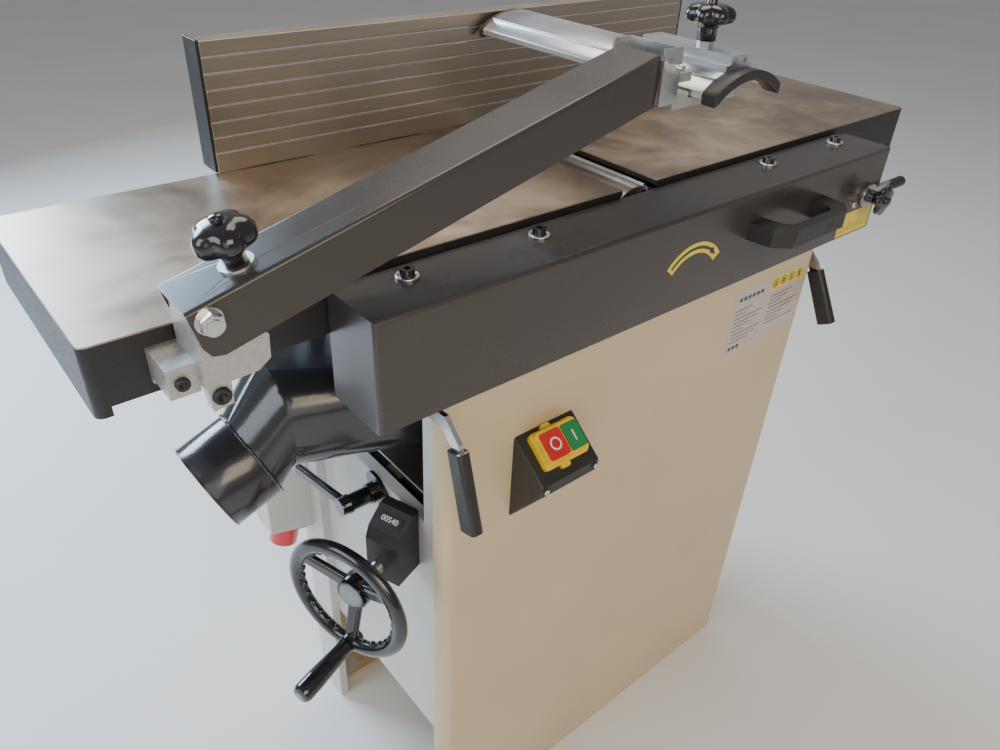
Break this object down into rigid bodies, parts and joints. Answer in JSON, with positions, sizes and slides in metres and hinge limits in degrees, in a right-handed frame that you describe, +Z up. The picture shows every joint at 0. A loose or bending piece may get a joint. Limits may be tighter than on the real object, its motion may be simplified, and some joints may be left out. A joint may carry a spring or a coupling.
{
  "type": "combined surface planer and thicknesser",
  "caption": "Floor-standing surface planer and thicknesser with fold-up tables, tilting fence, bridge guard, rising table and a fold-away chip hood.",
  "frame": {"origin": "floor level under the middle of the cutterblock, centred between the four floor bolts", "axes": "+X to the infeed end, -Y to the operator, +Z up"},
  "size_m": [1.106, 0.6776, 1.0323],
  "materials": {
    "aluminium": "brushed",
    "anodised": "brushed anodised",
    "black_plastic": "satin",
    "cast_aluminium": "sand cast",
    "casting_paint": "satin",
    "cream_paint": "satin",
    "gloss_black": "gloss",
    "graphite_coat": "satin powder coat",
    "green_plastic": "gloss",
    "hood_gloss": "gloss",
    "machined_iron": "machined",
    "red_plastic": "gloss",
    "rubber": "matte",
    "steel": "ground",
    "yellow_plastic": "gloss",
    "zinc": "zinc plated"
  },
  "bodies": {
    "cabinet": {"cabinet_body": "cream_paint", "front_cover": "cream_paint", "rear_cover": "cream_paint", "side_frames": "casting_paint", "cutter_bearings": "steel", "motor": "casting_paint", "belt_cover": "casting_paint", "lift_bridge": "casting_paint", "position_gauge": "black_plastic", "clamp_plate": "gloss_black", "hinge_brackets": "casting_paint", "switch_box": "black_plastic", "switch_bezel": "yellow_plastic", "power_inlet": "red_plastic", "dust_hood": "hood_gloss", "drive_belt": "rubber"},
    "tables": {"outfeed_table": "machined_iron", "table_hinge_shaft": "steel", "table_hinge_arms": "casting_paint", "side_beam": "graphite_coat", "table_bolts": "zinc", "bow_handle": "black_plastic", "infeed_ways": "steel", "fence_bracket": "casting_paint", "arm_bracket": "cast_aluminium"},
    "infeed": {"infeed_table": "machined_iron"},
    "depth_lever": {"depth_lever": "black_plastic"},
    "depth_lock": {"depth_lock_knob": "gloss_black"},
    "fence_slide": {"fence_carriage": "steel"},
    "fence": {"fence_extrusion": "anodised", "fence_end_plates": "black_plastic", "fence_rear_plate": "casting_paint"},
    "fence_lock": {"fence_lock_lever": "gloss_black"},
    "guard_arm": {"guard_arm": "graphite_coat"},
    "arm_knob": {"arm_knob": "gloss_black"},
    "guard_head": {"guard_head": "zinc", "head_slide": "cast_aluminium"},
    "guard": {"bridge_guard": "aluminium", "guard_rail": "aluminium", "guard_end_caps": "black_plastic"},
    "guard_knob": {"guard_knob": "gloss_black"},
    "cutter": {"cutterblock": "steel", "knives": "steel", "knife_gibs": "steel", "cutter_pulley": "casting_paint"},
    "rotor": {"motor_pulley": "steel"},
    "infeed_roller": {"infeed_roller": "steel"},
    "outfeed_roller": {"outfeed_roller": "steel"},
    "kickback_fingers": {"kickback_fingers": "steel"},
    "rising_table": {"thicknesser_table": "machined_iron", "lift_posts": "steel"},
    "lift_nut": {"lift_gear": "steel"},
    "handwheel": {"handwheel": "gloss_black", "handwheel_shaft": "steel"},
    "wheel_grip": {"wheel_grip": "gloss_black"},
    "height_clamp": {"clamp_lever": "gloss_black"},
    "left_lock": {"lock_lever_left": "black_plastic"},
    "right_lock": {"lock_lever_right": "black_plastic"},
    "stop_button": {"stop_button": "red_plastic"},
    "start_button": {"start_button": "green_plastic"}
  },
  "joints": [
    {"name": "table_fold", "type": "hinge", "parent": "cabinet", "child": "tables", "pos_m": [0, 0.188, 0.85], "axis": [-1, 0, 0], "range_deg": [0, 90]},
    {"name": "infeed_height", "type": "slide", "parent": "tables", "child": "infeed", "axis": [0, 0, 1], "range_m": [-0.003, 0.0002]},
    {"name": "depth_lever_turn", "type": "hinge", "parent": "tables", "child": "depth_lever", "pos_m": [0.35, -0.2103, 0.796], "axis": [0, -1, 0], "range_deg": [-40.5, 3]},
    {"name": "depth_lock_turn", "type": "hinge", "parent": "tables", "child": "depth_lock", "pos_m": [0.35, -0.2213, 0.796], "axis": [0, -1, 0], "range_deg": [-180, 180]},
    {"name": "fence_cross", "type": "slide", "parent": "tables", "child": "fence_slide", "axis": [0, 1, 0], "range_m": [-0.18, 0]},
    {"name": "fence_tilt", "type": "hinge", "parent": "fence_slide", "child": "fence", "pos_m": [-0.12, 0.16, 0.866], "axis": [-1, 0, 0], "range_deg": [0, 45]},
    {"name": "fence_lock_turn", "type": "hinge", "parent": "tables", "child": "fence_lock", "pos_m": [-0.12, 0.204, 0.8945], "axis": [0, 0, 1], "range_deg": [0, 60]},
    {"name": "arm_swing", "type": "hinge", "parent": "tables", "child": "guard_arm", "pos_m": [-0.4805, -0.159, 0.881], "axis": [0, -1, 0], "range_deg": [-12, 10]},
    {"name": "arm_knob_turn", "type": "hinge", "parent": "guard_arm", "child": "arm_knob", "pos_m": [-0.4463, -0.159, 0.90172], "axis": [-0.2504, 0, 0.9681], "range_deg": [-180, 180]},
    {"name": "head_level", "type": "hinge", "parent": "guard_arm", "child": "guard_head", "pos_m": [-0.07485, -0.159, 0.98591], "axis": [0, -1, 0], "range_deg": [-10, 12]},
    {"name": "guard_cross", "type": "slide", "parent": "guard_head", "child": "guard", "axis": [0, 1, 0], "range_m": [-0.18, 0]},
    {"name": "guard_knob_turn", "type": "hinge", "parent": "guard", "child": "guard_knob", "pos_m": [0.033, -0.158, 1], "axis": [0, 0, 1], "range_deg": [-180, 180]},
    {"name": "cutter_spin", "type": "hinge", "parent": "cabinet", "child": "cutter", "pos_m": [0, 0, 0.821], "axis": [0, 1, 0], "continuous": true},
    {"name": "motor_spin", "type": "hinge", "parent": "cabinet", "child": "rotor", "pos_m": [0.205, 0.1, 0.29], "axis": [0, 1, 0], "continuous": true},
    {"name": "infeed_roller_spin", "type": "hinge", "parent": "cabinet", "child": "infeed_roller", "pos_m": [0.062, 0, 0.802], "axis": [0, 1, 0], "continuous": true},
    {"name": "outfeed_roller_spin", "type": "hinge", "parent": "cabinet", "child": "outfeed_roller", "pos_m": [-0.062, 0, 0.802], "axis": [0, 1, 0], "continuous": true},
    {"name": "finger_swing", "type": "hinge", "parent": "cabinet", "child": "kickback_fingers", "pos_m": [0.108, 0, 0.818], "axis": [0, 1, 0], "range_deg": [0, 35]},
    {"name": "table_rise", "type": "slide", "parent": "cabinet", "child": "rising_table", "axis": [0, 0, 1], "range_m": [0, 0.035]},
    {"name": "lift_nut_turn", "type": "hinge", "parent": "cabinet", "child": "lift_nut", "pos_m": [0, 0, 0.472], "axis": [0, 0, 1], "range_deg": [-10, 3200]},
    {"name": "handwheel_turn", "type": "hinge", "parent": "cabinet", "child": "handwheel", "pos_m": [-0.37939, -0.13884, 0.4945], "axis": [-0.9391, -0.3437, 0], "range_deg": [-10, 6350]},
    {"name": "grip_spin", "type": "hinge", "parent": "handwheel", "child": "wheel_grip", "pos_m": [-0.38691, -0.14159, 0.4285], "axis": [-0.9391, -0.3437, 0], "continuous": true},
    {"name": "height_clamp_turn", "type": "hinge", "parent": "cabinet", "child": "height_clamp", "pos_m": [-0.31, -0.056, 0.535], "axis": [1, 0, 0], "range_deg": [-40, 25]},
    {"name": "left_lock_turn", "type": "hinge", "parent": "cabinet", "child": "left_lock", "pos_m": [-0.3045, -0.16, 0.723], "axis": [1, 0, 0], "range_deg": [0, 25]},
    {"name": "right_lock_turn", "type": "hinge", "parent": "cabinet", "child": "right_lock", "pos_m": [0.3045, -0.16, 0.723], "axis": [-1, 0, 0], "range_deg": [0, 40]},
    {"name": "stop_press", "type": "slide", "parent": "cabinet", "child": "stop_button", "axis": [0, 0.6198, -0.7848], "range_m": [0, 0.003], "stiffness_N_per_m": 250},
    {"name": "start_press", "type": "slide", "parent": "cabinet", "child": "start_button", "axis": [0, 0.6198, -0.7848], "range_m": [0, 0.003], "stiffness_N_per_m": 250}
  ],
  "couplings": [
    {"joint": "depth_lever_turn", "follows": "infeed_height", "rad_per_m": 232.7},
    {"joint": "head_level", "follows": "arm_swing", "ratio": -1},
    {"joint": "guard_cross", "follows": "fence_cross", "ratio": 1},
    {"joint": "motor_spin", "follows": "cutter_spin", "ratio": 0.7059},
    {"joint": "infeed_roller_spin", "follows": "cutter_spin", "ratio": -0.05},
    {"joint": "outfeed_roller_spin", "follows": "cutter_spin", "ratio": -0.05},
    {"joint": "lift_nut_turn", "follows": "table_rise", "rad_per_m": 1570.8},
    {"joint": "handwheel_turn", "follows": "table_rise", "rad_per_m": 3141.6}
  ]
}
